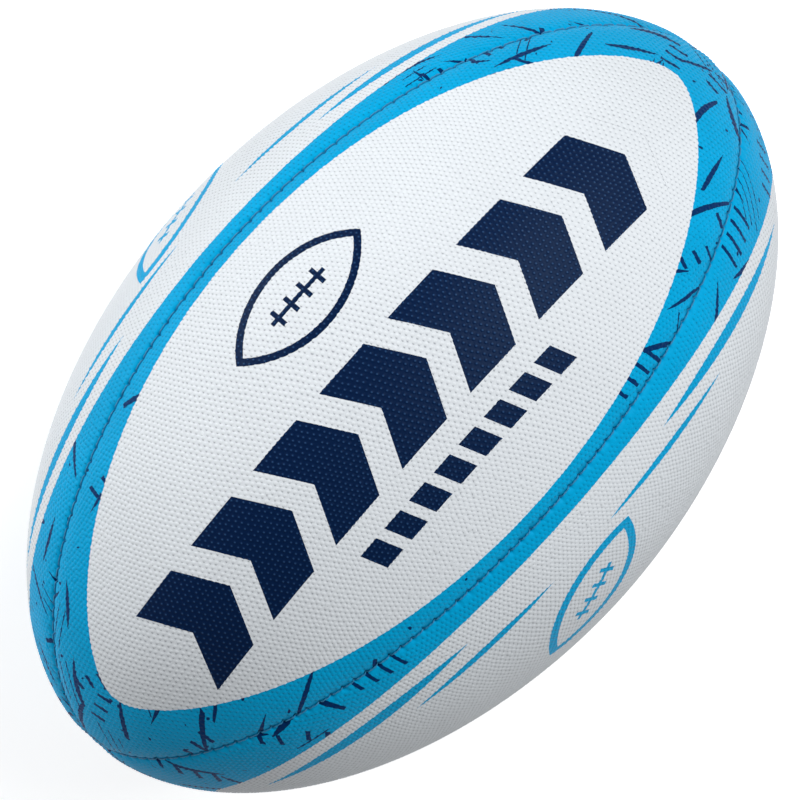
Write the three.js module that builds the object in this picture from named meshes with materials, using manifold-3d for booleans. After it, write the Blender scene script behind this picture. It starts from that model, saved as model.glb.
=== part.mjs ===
// Rugby ball: four stitched panels over an inflated bladder, with a needle valve in one panel.
//
// Millimetres. +X runs along the ball's long axis, +Y points out through the valve and +Z is up.
// The origin is the ball's centre. Panel 1 faces +Z, panel 2 +Y (the valve), panel 3 -Z and
// panel 4 -Y, so the four seams run from pole to pole half way between those directions.
//
// Each panel is a laminate: a rubber grip layer with three fabric plies bonded behind it. At each
// seam the whole laminate turns inwards, and the two turned-in edges meet back to back.

import * as THREE from 'three';
import { mergeVertices } from 'three/addons/utils/BufferGeometryUtils.js';
import Module from 'manifold-3d';

// ---- Driving dimensions (mm) ----

const BALL_LENGTH = 294;
const BALL_DIAMETER = 188;
const PROFILE_POWER = 1.96; // 2 is a true ellipse; a little less makes the ends more pointed

const GRIP_THICKNESS = 1.2;
const PLY_THICKNESS = 0.4;
const GLUE_LINE = 0.15; // gap between one layer and the next
const PLY_NAMES = ['outer_ply', 'middle_ply', 'inner_ply'];

const SEAM_HALF_GAP = 0.15; // half the gap between two panels, back to back
const SEAM_BEND_RADIUS = 3.2; // outer radius where a panel turns in at a seam
const NARROW_BEND_SHARE = 0.96; // of a panel's half width, where it is too narrow for the full bend
const SEAM_FLANGE_DEPTH = 7; // how far the turned-in edges reach below the ball's surface

const THREAD_DIAMETER = 0.9;
const THREAD_DEPTH = 1.2; // centre of the thread below the ball's surface, in the seam's valley
const THREAD_END_RADIUS = 5; // distance from the long axis at which a seam's thread ends

const GRIP_TIP_RADIUS = 2.6; // distance from the long axis at which a grip layer's point ends
const PLY_TIP_RADIUS = 6.5; // the plies are trimmed back a little behind the point

const BLADDER_CLEARANCE = 0.8; // between the lining and the bladder; holds the panel's patch
const BLADDER_THICKNESS = 0.7;
const BLADDER_FLANGE_GAP = 0.35; // between the turned-in edges and the bladder
const BLADDER_CREASE_WIDTH = 7; // distance from a seam's plane where the bladder dips under it
const BLADDER_END_RADIUS = 14; // distance from the long axis where the bladder's end starts
const BLADDER_END_DEPTH = 8.8; // depth of the bladder's ends, clear of the panels' points

const PANEL_PATCH_RADIUS = 17;
const PANEL_PATCH_THICKNESS = 0.4;
const BLADDER_PATCH_RADIUS = 15;
const BLADDER_PATCH_THICKNESS = 0.8;

const VALVE_NECK_RADIUS = 5;
const VALVE_MOUTH_DEPTH = 0; // the flat mouth of the valve is flush with the ball's surface
const VALVE_FLANGE_RADIUS = 11;
const VALVE_FLANGE_DEPTH = 7.4;
const VALVE_FLANGE_THICKNESS = 1.6;
const VALVE_STEM_RADIUS = 6;
const VALVE_STEM_DEPTH = 20; // inner end of the valve below the ball's surface
const VALVE_BORE_RADIUS = 3.2;
const VALVE_LEDGE_RADIUS = 2.2; // lip that stops the plug from falling into the bladder
const VALVE_LEDGE_THICKNESS = 1.5;
const NEEDLE_CHANNEL_RADIUS = 1;
const NEEDLE_CHANNEL_LENGTH = 11;
const FIT_GAP = 0.3; // clearance round the valve's neck and its plug

// ---- Fineness ----

const ACROSS_HALF = 3; // facets from a panel's middle to its edge
const ALONG = 12; // facets from tip to tip of a ply
const GRIP_BEND_STEPS = 2; // facets round a bend
const PLY_BEND_STEPS = 1;
const THREAD_STEPS = 28;
const THREAD_SIDES = 8;
const ROUND_SIDES = 24;

// ---- Derived sizes ----

const HALF_LENGTH = BALL_LENGTH / 2;
const RADIUS = BALL_DIAMETER / 2;
const PANELS = [1, 2, 3, 4];
const VALVE_PANEL = 2;
const QUARTER = Math.PI / 4; // from a panel's middle to its seam
const LAYER_STEP = PLY_THICKNESS + GLUE_LINE;
const LAMINATE_THICKNESS = GRIP_THICKNESS + PLY_NAMES.length * LAYER_STEP;
const BLADDER_DEPTH = LAMINATE_THICKNESS + BLADDER_CLEARANCE;
const CREASE_DEPTH = SEAM_FLANGE_DEPTH + BLADDER_FLANGE_GAP;

const wasm = await Module();
wasm.setup();

// ---- Materials ----

function material(color, roughness) {
  return new THREE.MeshStandardMaterial({ color, roughness, metalness: 0 });
}

const MATERIALS = {
  grip: () => material(0xe9eaec, 0.62),
  ply: () => material(0xd9d0b8, 0.92),
  thread: () => material(0x16506e, 0.6),
  bladder: () => material(0x2b2a2c, 0.45),
  patch: () => material(0xc8bfa6, 0.9),
  valve: () => material(0x1f2023, 0.5),
  plug: () => material(0x33353a, 0.55),
};

// ---- The ball's profile ----

// Angle along the profile, from -90 degrees at one pole to +90 at the other.
function profileAngleAtRadius(radius) {
  return Math.acos((radius / RADIUS) ** (PROFILE_POWER / 2));
}

// Point and outward normal of the profile: x along the ball, r away from its long axis.
function profileAt(angle) {
  const along = Math.abs(Math.sin(angle)) ** (2 / PROFILE_POWER);
  const across = Math.cos(angle) ** (2 / PROFILE_POWER);
  const normal = new THREE.Vector2(
    (along ** (PROFILE_POWER - 1) / HALF_LENGTH) * Math.sign(angle),
    across ** (PROFILE_POWER - 1) / RADIUS,
  ).normalize();
  return { x: HALF_LENGTH * along * Math.sign(angle), r: RADIUS * across, normal };
}

// Point at a depth below the surface. turn is the angle about +X from +Y towards +Z.
function pointBelow(station, turn, depth) {
  const r = station.r - depth * station.normal.y;
  return new THREE.Vector3(
    station.x - depth * station.normal.x, r * Math.cos(turn), r * Math.sin(turn));
}

// Angle from a panel's middle to a point that lies this far from the seam's plane.
function angleBesideSeam(station, distance, depth) {
  const r = station.r - depth * station.normal.y;
  return QUARTER - Math.asin(distance / r);
}

// Angle from a panel's middle to where its turned-in edge starts to bend.
function bendStartAngle(station) {
  return angleBesideSeam(station, SEAM_HALF_GAP + SEAM_BEND_RADIUS, LAMINATE_THICKNESS);
}

function stationsBetween(endRadius, count) {
  const end = profileAngleAtRadius(endRadius);
  return Array.from({ length: count + 1 }, (_, i) => profileAt(end * ((2 * i) / count - 1)));
}

const PLY_STATIONS = stationsBetween(PLY_TIP_RADIUS, ALONG);
const GRIP_TIPS = stationsBetween(GRIP_TIP_RADIUS, 1);
const GRIP_STATIONS = [GRIP_TIPS[0], ...PLY_STATIONS, GRIP_TIPS[1]];

// ---- Building closed bodies ----

function bodyFrom(points, triangles) {
  const geometry = new THREE.BufferGeometry();
  const flat = points.flatMap((p) => [p.x, p.y, p.z]);
  geometry.setAttribute('position', new THREE.Float32BufferAttribute(flat, 3));
  geometry.setIndex(triangles);
  return geometry;
}

// A sheet with two faces, given as matching grids of points, closed round all four edges.
function sheetBody(outer, inner) {
  const rows = outer.length;
  const columns = outer[0].length;
  const points = [...outer.flat(), ...inner.flat()];
  const outerAt = (row, column) => row * columns + column;
  const innerAt = (row, column) => rows * columns + row * columns + column;
  const triangles = [];
  const quad = (a, b, c, d) => triangles.push(a, b, c, a, c, d);
  for (let row = 0; row < rows - 1; row += 1) {
    const next = row + 1;
    for (let column = 0; column < columns - 1; column += 1) {
      const beside = column + 1;
      quad(outerAt(row, column), outerAt(row, beside), outerAt(next, beside), outerAt(next, column));
      quad(innerAt(row, column), innerAt(next, column), innerAt(next, beside), innerAt(row, beside));
    }
    const last = columns - 1;
    quad(outerAt(row, 0), outerAt(next, 0), innerAt(next, 0), innerAt(row, 0));
    quad(outerAt(next, last), outerAt(row, last), innerAt(row, last), innerAt(next, last));
  }
  for (let column = 0; column < columns - 1; column += 1) {
    const beside = column + 1;
    const end = rows - 1;
    quad(outerAt(0, beside), outerAt(0, column), innerAt(0, column), innerAt(0, beside));
    quad(outerAt(end, column), outerAt(end, beside), innerAt(end, beside), innerAt(end, column));
  }
  return bodyFrom(points, triangles);
}

// A solid between two pole points, with closed rings of points from one to the other.
function ringsBody(rings, startPole, endPole) {
  const count = rings[0].length;
  const points = [...rings.flat(), startPole, endPole];
  const start = points.length - 2;
  const end = points.length - 1;
  const triangles = [];
  for (let i = 0; i < count; i += 1) {
    const next = (i + 1) % count;
    triangles.push(start, next, i);
    for (let ring = 0; ring < rings.length - 1; ring += 1) {
      const here = ring * count;
      const ahead = here + count;
      triangles.push(here + i, here + next, ahead + next, here + i, ahead + next, ahead + i);
    }
    const last = (rings.length - 1) * count;
    triangles.push(end, last + i, last + next);
  }
  return bodyFrom(points, triangles);
}

// ---- Cutting and joining ----

function solidFrom(geometry) {
  const bare = geometry.clone();
  bare.deleteAttribute('normal');
  bare.deleteAttribute('uv');
  const merged = mergeVertices(bare);
  return new wasm.Manifold(new wasm.Mesh({
    numProp: 3,
    vertProperties: Float32Array.from(merged.attributes.position.array),
    triVerts: Uint32Array.from(merged.index.array),
  }));
}

function geometryFrom(solid) {
  const { vertProperties, triVerts } = solid.getMesh();
  const geometry = new THREE.BufferGeometry();
  geometry.setAttribute('position', new THREE.BufferAttribute(Float32Array.from(vertProperties), 3));
  geometry.setIndex(Array.from(triVerts));
  return geometry;
}

// A round bar along +Y, from inside the ball out past the valve.
function valveBar(radius) {
  const length = 2 * VALVE_STEM_DEPTH;
  return solidFrom(new THREE.CylinderGeometry(radius, radius, length, ROUND_SIDES)
    .translate(0, RADIUS, 0));
}

const VALVE_HOLE = valveBar(VALVE_NECK_RADIUS + FIT_GAP);

function withValveHole(geometry) {
  return geometryFrom(solidFrom(geometry).subtract(VALVE_HOLE));
}

// ---- Panels ----

// One face of a layer at one station, from its left turned-in edge to its right one.
// Bends of all layers share one centre, so a deeper face has a tighter bend.
function layerRow(station, middle, depth, bendSteps) {
  const room = station.r * Math.sin(QUARTER) - SEAM_HALF_GAP;
  const bendCentre = Math.min(SEAM_BEND_RADIUS, room * NARROW_BEND_SHARE);
  const bend = bendCentre - depth;
  const right = [];
  for (let i = 0; i <= bendSteps; i += 1) {
    const swing = (Math.PI / 2) * (i / bendSteps);
    right.push({
      distance: SEAM_HALF_GAP + bendCentre - bend * Math.sin(swing),
      depth: bendCentre - bend * Math.cos(swing),
    });
  }
  right.push({ distance: SEAM_HALF_GAP + depth, depth: SEAM_FLANGE_DEPTH });
  const edge = angleBesideSeam(station, right[0].distance, depth);
  const half = right.map((p) => ({
    angle: angleBesideSeam(station, p.distance, p.depth), depth: p.depth,
  }));
  for (let i = ACROSS_HALF - 1; i > 0; i -= 1) {
    half.unshift({ angle: edge * (i / ACROSS_HALF), depth });
  }
  const left = half.map((p) => ({ angle: -p.angle, depth: p.depth })).reverse();
  return [...left, { angle: 0, depth }, ...half]
    .map((p) => pointBelow(station, middle + p.angle, p.depth));
}

function layerBody(stations, middle, depth, thickness, bendSteps) {
  return sheetBody(
    stations.map((station) => layerRow(station, middle, depth, bendSteps)),
    stations.map((station) => layerRow(station, middle, depth + thickness, bendSteps)),
  );
}

// Middle of a panel as an angle about +X from +Y towards +Z: panel 1 up, then 2 at +Y, 3, 4.
function panelMiddle(number) {
  return (VALVE_PANEL - number) * 2 * QUARTER;
}

// A round patch that follows the panel's curve at a depth, with the valve's hole through it.
function curvedPatch(depth, thickness, radius) {
  const middle = panelMiddle(VALVE_PANEL);
  const face = (d) => PLY_STATIONS.map((station) => {
    const edge = bendStartAngle(station);
    return Array.from({ length: 2 * ACROSS_HALF + 1 }, (_, i) => pointBelow(
      station, middle + edge * (i / ACROSS_HALF - 1), d));
  });
  const layer = solidFrom(sheetBody(face(depth), face(depth + thickness)));
  return geometryFrom(layer.intersect(valveBar(radius)).subtract(VALVE_HOLE));
}

// ---- Bladder ----

// One ring of the bladder's surface. sink is 0 on the outer face and the wall on the inner one.
function bladderRing(station, sink) {
  const isEnd = !PLY_STATIONS.includes(station);
  const wallDepth = (isEnd ? BLADDER_END_DEPTH : BLADDER_DEPTH) + sink;
  const creaseDepth = (isEnd ? BLADDER_END_DEPTH : CREASE_DEPTH) + sink;
  const besideFlange = SEAM_HALF_GAP + LAMINATE_THICKNESS + BLADDER_FLANGE_GAP;
  const panelEdge = bendStartAngle(station);
  const half = [];
  for (let i = 1; i < ACROSS_HALF; i += 1) {
    half.push({ angle: panelEdge * (i / ACROSS_HALF), depth: wallDepth });
  }
  half.push(
    { angle: angleBesideSeam(station, BLADDER_CREASE_WIDTH, wallDepth), depth: wallDepth },
    { angle: angleBesideSeam(station, besideFlange, creaseDepth), depth: creaseDepth },
  );
  const left = half.map((p) => ({ angle: -p.angle, depth: p.depth })).reverse();
  const quarter = [...left, { angle: 0, depth: wallDepth }, ...half];
  return [...PANELS].reverse().flatMap((number) => quarter
    .map((p) => pointBelow(station, panelMiddle(number) + p.angle, p.depth)));
}

function bladderSkin(sink) {
  const ends = stationsBetween(BLADDER_END_RADIUS, 1);
  const stations = [ends[0], ...PLY_STATIONS.slice(1, -1), ends[1]];
  const pole = HALF_LENGTH - BLADDER_END_DEPTH - sink;
  return solidFrom(ringsBody(
    stations.map((station) => bladderRing(station, sink)),
    new THREE.Vector3(-pole, 0, 0),
    new THREE.Vector3(pole, 0, 0),
  ));
}

function bladderBody() {
  return geometryFrom(bladderSkin(0).subtract(bladderSkin(BLADDER_THICKNESS)).subtract(VALVE_HOLE));
}

// ---- Valve ----

// The profiles turn about +Y. Each outline closes on itself or on the axis.
function turned(outline) {
  const points = outline.map(([radius, depth]) => new THREE.Vector2(radius, RADIUS - depth));
  return new THREE.LatheGeometry(points, ROUND_SIDES);
}

function valveBody() {
  const flangeEnd = VALVE_FLANGE_DEPTH + VALVE_FLANGE_THICKNESS;
  const ledge = VALVE_STEM_DEPTH - VALVE_LEDGE_THICKNESS;
  const outline = [
    [VALVE_BORE_RADIUS, VALVE_MOUTH_DEPTH],
    [VALVE_BORE_RADIUS, ledge],
    [VALVE_LEDGE_RADIUS, ledge],
    [VALVE_LEDGE_RADIUS, VALVE_STEM_DEPTH],
    [VALVE_STEM_RADIUS, VALVE_STEM_DEPTH],
    [VALVE_STEM_RADIUS, flangeEnd],
    [VALVE_FLANGE_RADIUS, flangeEnd],
    [VALVE_FLANGE_RADIUS, VALVE_FLANGE_DEPTH],
    [VALVE_NECK_RADIUS, VALVE_FLANGE_DEPTH],
    [VALVE_NECK_RADIUS, VALVE_MOUTH_DEPTH],
  ];
  return turned([...outline, outline[0]]);
}

// The plug has a blind channel: its closed end is the slit that seals round a needle.
function valvePlug() {
  const plugRadius = VALVE_BORE_RADIUS - FIT_GAP;
  const plugEnd = VALVE_STEM_DEPTH - VALVE_LEDGE_THICKNESS - FIT_GAP;
  return turned([
    [0, VALVE_MOUTH_DEPTH + NEEDLE_CHANNEL_LENGTH],
    [NEEDLE_CHANNEL_RADIUS, VALVE_MOUTH_DEPTH + NEEDLE_CHANNEL_LENGTH],
    [NEEDLE_CHANNEL_RADIUS, VALVE_MOUTH_DEPTH],
    [plugRadius, VALVE_MOUTH_DEPTH],
    [plugRadius, plugEnd],
    [0, plugEnd],
  ].reverse());
}

// ---- Seam threads ----

function seamThread(number) {
  const turn = panelMiddle(number) - QUARTER;
  const path = stationsBetween(THREAD_END_RADIUS, THREAD_STEPS)
    .map((station) => pointBelow(station, turn, THREAD_DEPTH));
  const section = new THREE.Shape(Array.from({ length: THREAD_SIDES }, (_, i) => {
    const angle = (2 * Math.PI * i) / THREAD_SIDES;
    return new THREE.Vector2(Math.cos(angle), Math.sin(angle)).multiplyScalar(THREAD_DIAMETER / 2);
  }));
  return new THREE.ExtrudeGeometry(section, {
    steps: THREAD_STEPS,
    extrudePath: new THREE.CatmullRomCurve3(path),
    bevelEnabled: false,
  });
}

// ---- The ball ----

const ball = new THREE.Group();
ball.name = 'rugby_ball';

function add(name, geometry, makeMaterial) {
  const mesh = new THREE.Mesh(geometry, makeMaterial());
  mesh.name = name;
  ball.add(mesh);
}

for (const number of PANELS) {
  const middle = panelMiddle(number);
  const finish = number === VALVE_PANEL ? withValveHole : (geometry) => geometry;
  const grip = layerBody(GRIP_STATIONS, middle, 0, GRIP_THICKNESS, GRIP_BEND_STEPS);
  add(`grip_panel_${number}`, finish(grip), MATERIALS.grip);
  PLY_NAMES.forEach((plyName, index) => {
    const depth = GRIP_THICKNESS + GLUE_LINE + index * LAYER_STEP;
    const ply = layerBody(PLY_STATIONS, middle, depth, PLY_THICKNESS, PLY_BEND_STEPS);
    add(`${plyName}_${number}`, finish(ply), MATERIALS.ply);
  });
  add(`seam_thread_${number}`, seamThread(number), MATERIALS.thread);
}

add('bladder', bladderBody(), MATERIALS.bladder);
add(
  'panel_valve_patch',
  curvedPatch(LAMINATE_THICKNESS + GLUE_LINE, PANEL_PATCH_THICKNESS, PANEL_PATCH_RADIUS),
  MATERIALS.patch,
);
add(
  'bladder_valve_patch',
  curvedPatch(
    BLADDER_DEPTH + BLADDER_THICKNESS + GLUE_LINE, BLADDER_PATCH_THICKNESS, BLADDER_PATCH_RADIUS),
  MATERIALS.bladder,
);
add('valve_body', valveBody(), MATERIALS.valve);
add('valve_plug', valvePlug(), MATERIALS.plug);

export default ball;
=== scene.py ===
"""Rugby ball: the printed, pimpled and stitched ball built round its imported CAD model.

Lengths inside this script are millimetres until a mesh is made, which is in metres. Every panel is
worked out once with its middle facing +Z and its tips on the X axis, and is then turned to its
place. A spot on a panel is (s, turn): s is the distance along the panel's middle line from the
ball's waist, and turn is the angle round the X axis from the panel's middle.
"""

import math

import bmesh
import bpy
import numpy as np
from mathutils import Matrix, Vector
from mathutils.geometry import delaunay_2d_cdt


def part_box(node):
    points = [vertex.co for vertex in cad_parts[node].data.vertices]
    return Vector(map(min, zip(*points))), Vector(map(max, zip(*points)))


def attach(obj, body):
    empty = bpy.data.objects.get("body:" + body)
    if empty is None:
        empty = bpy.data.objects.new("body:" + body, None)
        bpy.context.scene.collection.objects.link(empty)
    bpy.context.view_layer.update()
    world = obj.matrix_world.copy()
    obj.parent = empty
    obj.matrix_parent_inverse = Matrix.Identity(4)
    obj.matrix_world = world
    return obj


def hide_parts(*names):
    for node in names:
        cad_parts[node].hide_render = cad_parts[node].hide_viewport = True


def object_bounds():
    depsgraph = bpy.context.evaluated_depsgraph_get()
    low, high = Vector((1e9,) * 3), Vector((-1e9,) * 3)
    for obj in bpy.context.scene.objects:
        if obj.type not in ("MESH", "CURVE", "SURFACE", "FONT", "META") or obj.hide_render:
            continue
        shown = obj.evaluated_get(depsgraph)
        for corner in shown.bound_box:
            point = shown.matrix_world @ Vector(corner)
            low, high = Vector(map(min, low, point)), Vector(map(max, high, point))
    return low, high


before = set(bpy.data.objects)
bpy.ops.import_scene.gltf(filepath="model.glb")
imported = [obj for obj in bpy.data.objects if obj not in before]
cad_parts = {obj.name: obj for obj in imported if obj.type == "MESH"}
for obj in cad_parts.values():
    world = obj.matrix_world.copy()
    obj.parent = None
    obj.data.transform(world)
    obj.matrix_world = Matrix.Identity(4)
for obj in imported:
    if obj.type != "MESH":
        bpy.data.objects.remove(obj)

MM = 0.001
CAD_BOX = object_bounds()

# ---- The ball's shape, as in the CAD model ----

PROFILE_POWER = 1.96
GRIP_TIP_RADIUS = 2.6
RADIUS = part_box("grip_panel_1")[1].z / MM
TIP_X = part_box("grip_panel_1")[1].x / MM
HALF_LENGTH = TIP_X / (1 - (GRIP_TIP_RADIUS / RADIUS) ** PROFILE_POWER) ** (1 / PROFILE_POWER)
PANELS = (1, 2, 3, 4)
VALVE_PANEL = 2
QUARTER = math.pi / 4

GRIP_THICKNESS = 1.2
PLY_THICKNESS = 0.4
GLUE_LINE = 0.15
PLY_NAMES = ("outer", "middle", "inner")
HALF_GAP = 0.05  # from a seam's middle to the panel beside it
BEND_RADIUS = 3.2
NARROW_BEND_SHARE = 0.96  # of a narrow panel's half width that its bend takes
TIGHTEST_BEND = 0.3
DEEPEST_SHARE = 0.75  # of a small bend's radius that the layers inside it may take
FLANGE_DEPTH = 7.0
GRIP_END_RADIUS = 0.9  # the rubber is drawn together closer to the axis than in the CAD
PLY_END_RADIUS = 6.5
VALVE_HOLE_RADIUS = 5.3

BLADDER_DEPTH = 3.65
BLADDER_THICKNESS = 0.7
CREASE_DEPTH = 7.35  # under a seam's turned-in edges
CREASE_EDGES = (3.4, 9.0)  # distances from a seam between which the crease rises to the rest
BLADDER_END_DEPTH = 8.8
BLADDER_END_RADIUS = 14.0
BLADDER_HOLE_RADIUS = 6.3

# ---- Surface detail ----

PIMPLE_PITCH = 1.9
PIMPLE_RADIUS = 0.74
PIMPLE_HEIGHT = 0.24
PIMPLE_SIDES = 6
PIMPLE_COLUMNS = 55  # on each side of the panel's middle line
PIMPLE_JITTER = 0.10
PIMPLE_DRIFT = 1.3  # how far the rows of pimples wander from a true grid
PIMPLE_FREE_STRIP = 0.6  # smooth rubber beside a seam
PIMPLE_CLEARANCE = 0.25
PIMPLE_TIP_CLEARANCE = 0.6
PIT_SIDE = 3  # the sunk corner of a pimple's foot; its shade fades towards the corner before it
PIT_DEPTH = 0.10
SEAM_DIP = 0.75  # how far the surface sinks next to a seam
SEAM_DIP_WIDTH = 3.6
CORNER_POWER = 8.0  # 2 turns in round a circle; more makes a tighter fold
FOLD_ROWS = (0.5, 0.62, 0.85)  # shares of the turn into a seam at which vertices run along it
FOLD_ROW_STEP = 0.6
FOLD_ROW_END = 1.5  # how far short of a panel's tips they stop
STITCH_PITCH = 4.6
STITCH_WIDTH = 0.5
STITCH_PINCH = 0.17
PINCH_START, PINCH_FADE = 0.5, 0.3  # radians round the fold

THREAD_RADIUS = 0.30
THREAD_FLATNESS = 0.20  # how far the two strands' outline is from round
THREAD_TWIST = 3.2  # length of one turn of the strands
THREAD_DEPTH = 0.85
THREAD_DIVE = 1.0
THREAD_SWAY = 0.05
THREAD_END_RADIUS = 4.0
THREAD_SIDES = 12
THREAD_STEPS = 12  # in each stitch

# ---- How finely the panels are divided ----

HOLE_SIDES = 48
HOLE_COLLARS = (5.7, 6.4, 7.2)  # smooth rubber round the valve hole, free of pimples
COLLAR_RADIUS = 7.9
END_ROW = 5  # vertices across a panel's end
TIP_LENGTH = 5.0
TIP_STATIONS = 8
FINE_STATIONS, COARSE_STATIONS = 2.0, 4.0
PLAIN_GRID = 5.0  # between the vertices of a smooth face
PLAIN_FOLD_ROWS = (0.0, 0.25, 0.5, 0.75)

# ---- The printed pattern on a panel ----

OVAL_HALF_LENGTH = 148.0
OVAL_HALF_WIDTH = 61.5
OVAL_POWER = 1.07
OVAL_TIP = 8.2  # rounds the oval's two points
WHITE = (0.678, 0.714, 0.748)
SKY = (0.0, 0.342, 0.642)
NAVY = (0.0005, 0.009, 0.043)
NAVY_GLINT = (0.022, 0.065, 0.165)  # painted highlight on the tops of the pimples
INK_BLUE = (0.0, 0.022, 0.100)
BLUE_SHEEN = (0.25, 0.65, 1.0)
PAINTED_SHADE_GREY = (0.20, 0.22, 0.25)  # painted shade between the pimples and painted shadow in their sunk pits, partly also dust and thin print
VALLEY_SHADE = 0.10
PIT_SHADE = 0.85
SCRIBBLE_SHIFT = 37.0
PRINT_SHINE = 0.09  # the shader's specular level, where 0.5 is usual

# The "raised" mark of each kind of vertex, which the print's shading reads.
SMOOTH, PEAK, FOOT, PIT, PIT_END = 0.5, 1.0, 0.3, 0.0, 0.17

# ---- Patches behind the valve ----

CLOTH_PATCH_RADIUS = 17.0
RUBBER_PATCH_RADIUS = 15.0

# ---- Camera, lights and floor, with lengths in metres ----

VIEW_DISTANCE = 3.2
VIEW_LEAN = math.radians(2.74)  # towards the -X end
VIEW_ROLL = math.radians(7.22)  # round the long axis, towards -Y
LONG_AXIS_SLOPE = math.radians(47.9)  # of the ball's long axis in the picture
LENS = 450.9  # in mm, like the sensor
SENSOR_WIDTH = 36.0
CENTRE_OFFSET = 0.0009  # the ball's centre is this far right of the picture's centre
LIGHT_DISTANCE = 2.4
LIGHT_SIZE = 1.8
UPPER_LEFT_WATTS = 62
FRONT_RIGHT_WATTS = 60
SKY_STRENGTH = 0.30
FLOOR_HALF = 8.0
FLOOR_GAP = 0.0002
FLOOR_GLOW = 0.55


# ================= Shape of the ball =================


def outline(angle):
    """x, distance from the X axis, and outward normal of the ball's outline, from pole to pole."""
    along = np.abs(np.sin(angle)) ** (2 / PROFILE_POWER)
    across = np.clip(np.cos(angle), 0, 1) ** (2 / PROFILE_POWER)
    nx = np.sign(angle) * along ** (PROFILE_POWER - 1) / HALF_LENGTH
    nr = across ** (PROFILE_POWER - 1) / RADIUS
    size = np.hypot(nx, nr)
    return HALF_LENGTH * along * np.sign(angle), RADIUS * across, nx / size, nr / size


ANGLES = np.linspace(-math.pi / 2, math.pi / 2, 20001)
OUTLINE_X, OUTLINE_R = outline(ANGLES)[:2]
ARC = np.concatenate([[0], np.cumsum(np.hypot(np.diff(OUTLINE_X), np.diff(OUTLINE_R)))])
ARC -= ARC[-1] / 2


def outline_at(s):
    return outline(np.interp(s, ARC, ANGLES))


def arc_at_radius(radius):
    """Distance from the waist to where the outline is this far from the X axis."""
    return float(np.interp(math.acos((radius / RADIUS) ** (PROFILE_POWER / 2)), ANGLES, ARC))


def bend_radius(r):
    """Radius at which a panel turns in beside a seam: smaller where the panel is narrow."""
    return np.minimum(BEND_RADIUS, NARROW_BEND_SHARE * (r * math.sin(QUARTER) - HALF_GAP))


def edge_turn(s, bent):
    """turn at which a panel's edge has bent this far, in radians, out of the ball's surface."""
    r = outline_at(s)[1]
    return QUARTER - np.arcsin((HALF_GAP + bend_radius(r) * (1 - bent)) / r)


def stitch(s):
    """1 at each stitch along a seam and 0 between them."""
    off = np.mod(s, STITCH_PITCH) - STITCH_PITCH / 2
    return np.exp(-((off / STITCH_WIDTH) ** 2))


def folded(s, turn, depth, lift=0.0, outer=False, bottom=None):
    """Points of a panel at a depth below its outer face, its edges turned in beside the seams.

    lift raises pimples, outer makes the tighter corner and the stitch marks of the outer face, and
    bottom, if given, is the depth that the turned-in edge reaches.
    """
    x, r, nx, nr = outline_at(s)
    bend = bend_radius(r)
    depth = np.minimum(depth, np.maximum(DEEPEST_SHARE * bend, bend - TIGHTEST_BEND))
    beside = r * np.sin(QUARTER - np.abs(turn))
    start = HALF_GAP + bend
    bent = np.clip((start - beside) / bend, 0, math.pi / 2)
    corner = bend
    if outer:
        tight = (np.sin(bent) ** CORNER_POWER + np.cos(bent) ** CORNER_POWER) ** (-1 / CORNER_POWER)
        corner = bend * tight
        inward = np.clip((bent - PINCH_START) / PINCH_FADE, 0, 1)
        corner = corner * (1 - STITCH_PINCH * stitch(s) * inward)
    radius = corner - depth + lift
    middle_share = np.clip((beside - start) / (r * math.sin(QUARTER) - start), 0, 1)
    aside = np.where(
        beside > start,
        beside * (1 - middle_share * depth * nr / r),
        start - radius * np.sin(bent),
    )
    down = bend - radius * np.cos(bent)
    down = down + SEAM_DIP * np.exp(-((np.maximum(beside, 0) / SEAM_DIP_WIDTH) ** 2))
    if bottom is not None:
        down = np.full_like(down, bottom)
    from_axis = r - down * nr
    new_turn = np.where(turn < 0, -1, 1) * (QUARTER - np.arcsin(aside / from_axis))
    return np.stack(
        [x - down * nx, from_axis * np.sin(new_turn), from_axis * np.cos(new_turn)], axis=-1
    )


def below(s, turn, depth):
    """Points at a depth below the ball's surface, with no turned-in edges."""
    x, r, nx, nr = outline_at(s)
    from_axis = r - depth * nr
    return np.stack(
        [x - depth * nx, from_axis * np.sin(turn), from_axis * np.cos(turn)], axis=-1
    )


def turned_to_panel(points, panel):
    """Points of the panel that faces +Z, turned to this panel's place: 2 faces +Y, 3 -Z, 4 -Y."""
    angle = -(panel - 1) * math.pi / 2
    c, s = round(math.cos(angle)), round(math.sin(angle))
    return points @ np.array([[1, 0, 0], [0, c, s], [0, -s, c]])


# ================= Meshes =================


def link(made):
    bpy.context.scene.collection.objects.link(made)
    return made


def corner_vertices(mesh):
    """The vertex number at each corner of each face."""
    corners = np.empty(len(mesh.loops), np.int32)
    mesh.loops.foreach_get("vertex_index", corners)
    return corners


def new_object(name, points, faces, flat=None):
    """A mesh object in metres from points in mm. flat picks the faces that aren't shaded smooth."""
    mesh = bpy.data.meshes.new(name)
    mesh.from_pydata((np.asarray(points) * MM).tolist(), [], faces)
    shades = np.full(len(mesh.polygons), True)
    if flat is not None:
        shades[flat] = False
    mesh.polygons.foreach_set("use_smooth", shades)
    mesh.update()
    return link(bpy.data.objects.new(name, mesh))


def add_uv(piece, name, per_vertex):
    """A UV layer in which each vertex has one place."""
    places = np.asarray(per_vertex)[corner_vertices(piece.data)].astype(np.float32)
    piece.data.uv_layers.new(name=name).data.foreach_set("uv", places.ravel())


def strip(first, second):
    """Quads between two rows of vertex numbers."""
    return [
        (first[i], first[i + 1], second[i + 1], second[i]) for i in range(len(first) - 1)
    ]


def ring_strip(first, second):
    """Quads between two closed rings of vertex numbers."""
    return strip([*first, first[0]], [*second, second[0]])


# ================= Panels =================


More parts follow.
